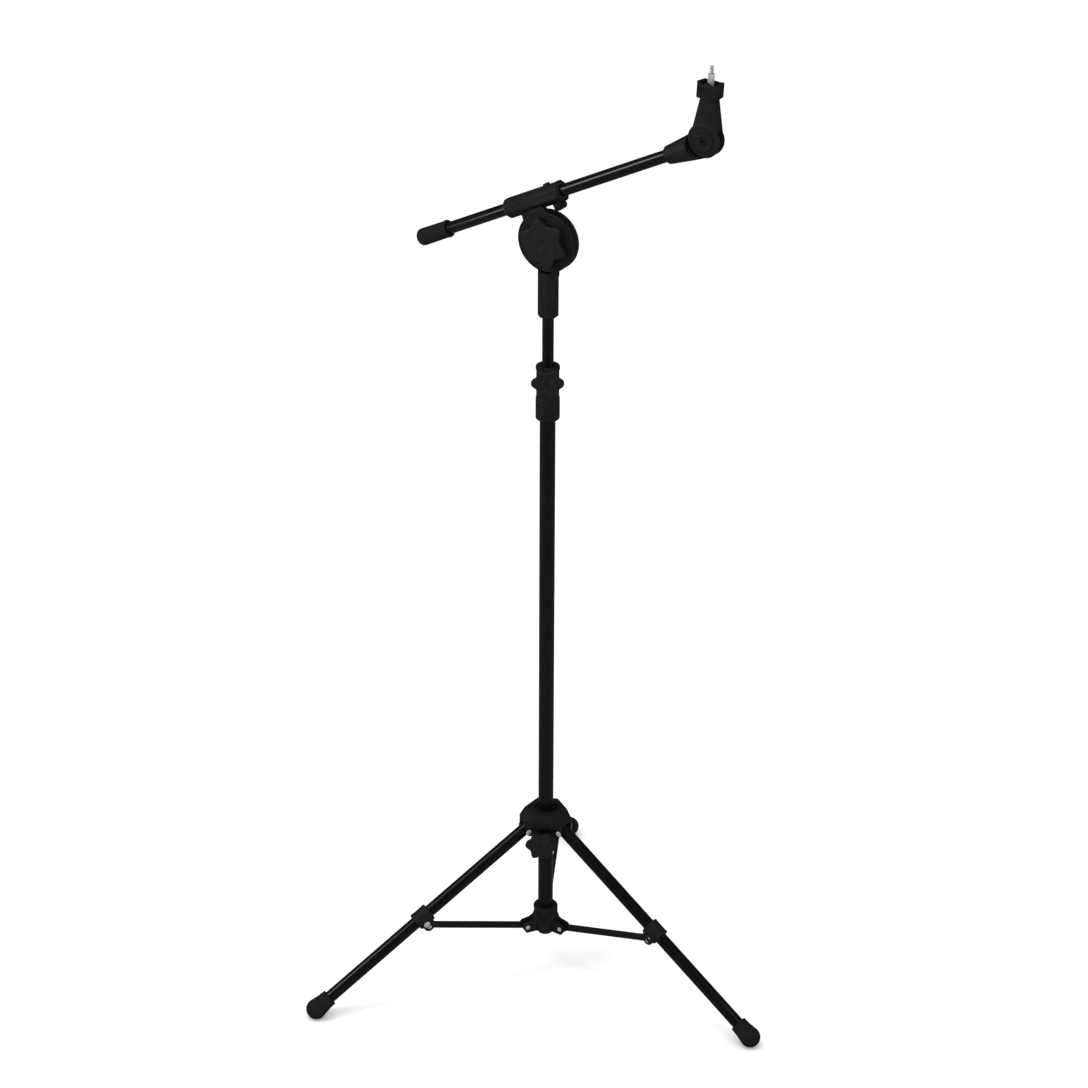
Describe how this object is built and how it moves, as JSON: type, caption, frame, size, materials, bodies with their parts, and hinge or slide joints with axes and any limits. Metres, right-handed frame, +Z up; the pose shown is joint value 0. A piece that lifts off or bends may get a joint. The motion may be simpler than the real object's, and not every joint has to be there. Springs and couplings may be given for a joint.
{
  "type": "boom microphone stand",
  "caption": "Black floor stand with a folding tripod base, telescoping mast, clutch, tilting boom arm with clamp, rubber end cap and an angled microphone holder with a threaded stud.",
  "frame": {"origin": "on the floor, in the middle of the whole stand's outline at rest, with the feet's flat soles at z = 0; the mast's axis stands at x = -0.07421, y = -0.01916", "axes": "+Z up along the mast, +X the way the boom points towards its microphone end, +Y to the left of the boom seen from above"},
  "size_m": [0.6074, 0.6588, 1.4384],
  "materials": {
    "gloss_black_paint": "gloss black paint",
    "satin_black_paint": "satin black paint",
    "matte_black_plastic": "fine matte moulded plastic",
    "black_knob_plastic": "matte moulded plastic",
    "dark_bearing_plastic": "smooth bearing plastic",
    "black_rubber": "matte rubber",
    "bright_steel": "bright plated steel"
  },
  "bodies": {
    "mast": {"mast_tube": "gloss_black_paint", "mast_end_plug": "matte_black_plastic", "strut_collar": "matte_black_plastic", "collar_rivet_1a": "bright_steel", "collar_rivet_1b": "bright_steel", "collar_rivet_2a": "bright_steel", "collar_rivet_2b": "bright_steel", "collar_rivet_3a": "bright_steel", "collar_rivet_3b": "bright_steel", "clutch_body": "matte_black_plastic"},
    "clutch_knob": {"clutch_knob": "black_knob_plastic", "clutch_screw": "bright_steel"},
    "hub": {"hub_body": "matte_black_plastic", "leg_pivot_pin_1": "bright_steel", "leg_pivot_pin_2": "bright_steel", "leg_pivot_pin_3": "bright_steel"},
    "hub_knob": {"hub_knob": "black_knob_plastic", "hub_screw": "bright_steel"},
    "leg_1": {"leg_tube_1": "gloss_black_paint", "leg_top_plug_1": "matte_black_plastic", "leg_clip_1": "matte_black_plastic", "clip_rivet_1": "bright_steel", "strut_rivet_1": "bright_steel", "foot_1": "black_rubber"},
    "strut_body_1": {"strut_1": "satin_black_paint"},
    "leg_2": {"leg_tube_2": "gloss_black_paint", "leg_top_plug_2": "matte_black_plastic", "leg_clip_2": "matte_black_plastic", "clip_rivet_2": "bright_steel", "strut_rivet_2": "bright_steel", "foot_2": "black_rubber"},
    "strut_body_2": {"strut_2": "satin_black_paint"},
    "leg_3": {"leg_tube_3": "gloss_black_paint", "leg_top_plug_3": "matte_black_plastic", "leg_clip_3": "matte_black_plastic", "clip_rivet_3": "bright_steel", "strut_rivet_3": "bright_steel", "foot_3": "black_rubber"},
    "strut_body_3": {"strut_3": "satin_black_paint"},
    "swivel_bush": {"clutch_bush": "dark_bearing_plastic"},
    "upper_mast": {"upper_tube": "gloss_black_paint", "upper_tube_glide": "dark_bearing_plastic", "boom_socket": "matte_black_plastic", "friction_washer": "dark_bearing_plastic", "tilt_bolt": "bright_steel"},
    "tilt_knob": {"tilt_knob": "black_knob_plastic"},
    "clamp": {"boom_clamp": "matte_black_plastic", "clamp_nut": "bright_steel"},
    "clamp_screw": {"clamp_screw": "bright_steel"},
    "boom_liner": {"clamp_liner": "dark_bearing_plastic"},
    "boom": {"boom_tube": "gloss_black_paint", "boom_end_cap": "black_rubber", "elbow_socket": "matte_black_plastic", "elbow_bolt": "satin_black_paint", "elbow_nut": "bright_steel"},
    "arm": {"elbow_arm": "matte_black_plastic", "saddle_cup": "black_rubber", "stud": "bright_steel"},
    "stud_nut": {"stud_nut": "bright_steel"}
  },
  "joints": [
    {"name": "hub_slide", "type": "slide", "parent": "mast", "child": "hub", "axis": [0, 0, 1], "range_m": [0, 0.1947]},
    {"name": "leg_fold_1", "type": "hinge", "parent": "hub", "child": "leg_1", "pos_m": [-0.04139, -0.02261, 0.24], "axis": [0.1045, 0.9945, 0], "range_deg": [0, 51.7]},
    {"name": "strut_fold_1", "type": "hinge", "parent": "leg_1", "child": "strut_body_1", "pos_m": [0.11348, -0.03889, 0.11356], "axis": [0.1045, 0.9945, 0], "range_deg": [-127.47, 0]},
    {"name": "leg_fold_2", "type": "hinge", "parent": "hub", "child": "leg_2", "pos_m": [-0.08763, 0.01099, 0.24], "axis": [-0.9135, -0.4067, 0], "range_deg": [0, 51.7]},
    {"name": "strut_fold_2", "type": "hinge", "parent": "leg_2", "child": "strut_body_2", "pos_m": [-0.15097, 0.15325, 0.11356], "axis": [-0.9135, -0.4067, 0], "range_deg": [-127.47, 0]},
    {"name": "leg_fold_3", "type": "hinge", "parent": "hub", "child": "leg_3", "pos_m": [-0.09361, -0.04586, 0.24], "axis": [0.809, -0.5878, 0], "range_deg": [0, 51.7]},
    {"name": "strut_fold_3", "type": "hinge", "parent": "leg_3", "child": "strut_body_3", "pos_m": [-0.18514, -0.17184, 0.11356], "axis": [0.809, -0.5878, 0], "range_deg": [-127.47, 0]},
    {"name": "hub_knob_turn", "type": "hinge", "parent": "hub", "child": "hub_knob", "pos_m": [-0.07421, -0.01916, 0.2265], "axis": [0.342, -0.9397, 0], "range_deg": [0, 720]},
    {"name": "clutch_knob_turn", "type": "hinge", "parent": "mast", "child": "clutch_knob", "pos_m": [-0.07421, -0.01916, 0.962], "axis": [0.4924, -0.8704, 0], "range_deg": [0, 720]},
    {"name": "mast_swivel", "type": "hinge", "parent": "mast", "child": "swivel_bush", "pos_m": [-0.07421, -0.01916, 0.95], "axis": [0, 0, 1], "continuous": true},
    {"name": "height_slide", "type": "slide", "parent": "swivel_bush", "child": "upper_mast", "axis": [0, 0, 1], "range_m": [-0.07, 0.5]},
    {"name": "tilt_knob_turn", "type": "hinge", "parent": "upper_mast", "child": "tilt_knob", "pos_m": [-0.07421, -0.01916, 1.1537], "axis": [0, -1, 0], "range_deg": [0, 720]},
    {"name": "boom_tilt", "type": "hinge", "parent": "upper_mast", "child": "clamp", "pos_m": [-0.07421, -0.01916, 1.1537], "axis": [0, -1, 0], "range_deg": [-116.4, 63.6]},
    {"name": "clamp_screw_turn", "type": "hinge", "parent": "clamp", "child": "clamp_screw", "pos_m": [-0.05608, -0.01916, 1.20714], "axis": [0, -1, 0], "range_deg": [0, 720]},
    {"name": "boom_roll", "type": "hinge", "parent": "clamp", "child": "boom_liner", "pos_m": [-0.1, -0.01916, 1.20565], "axis": [0.8957, 0, 0.4446], "continuous": true},
    {"name": "boom_slide", "type": "slide", "parent": "boom_liner", "child": "boom", "axis": [0.8957, 0, 0.4446], "range_m": [-0.17, 0.1]},
    {"name": "elbow_tilt", "type": "hinge", "parent": "boom", "child": "arm", "pos_m": [0.15887, -0.01916, 1.33862], "axis": [0, -1, 0], "range_deg": [-60.9, 20]},
    {"name": "stud_nut_turn", "type": "hinge", "parent": "arm", "child": "stud_nut", "pos_m": [0.16364, -0.01916, 1.41849], "axis": [0.0471, 0, 0.9989], "range_deg": [0, 1080]}
  ],
  "couplings": [
    {"joint": "leg_fold_1", "follows": "hub_slide", "rad_per_m": 4.6338},
    {"joint": "strut_fold_1", "follows": "hub_slide", "rad_per_m": -11.424},
    {"joint": "leg_fold_2", "follows": "hub_slide", "rad_per_m": 4.6338},
    {"joint": "strut_fold_2", "follows": "hub_slide", "rad_per_m": -11.424},
    {"joint": "leg_fold_3", "follows": "hub_slide", "rad_per_m": 4.6338},
    {"joint": "strut_fold_3", "follows": "hub_slide", "rad_per_m": -11.424}
  ]
}
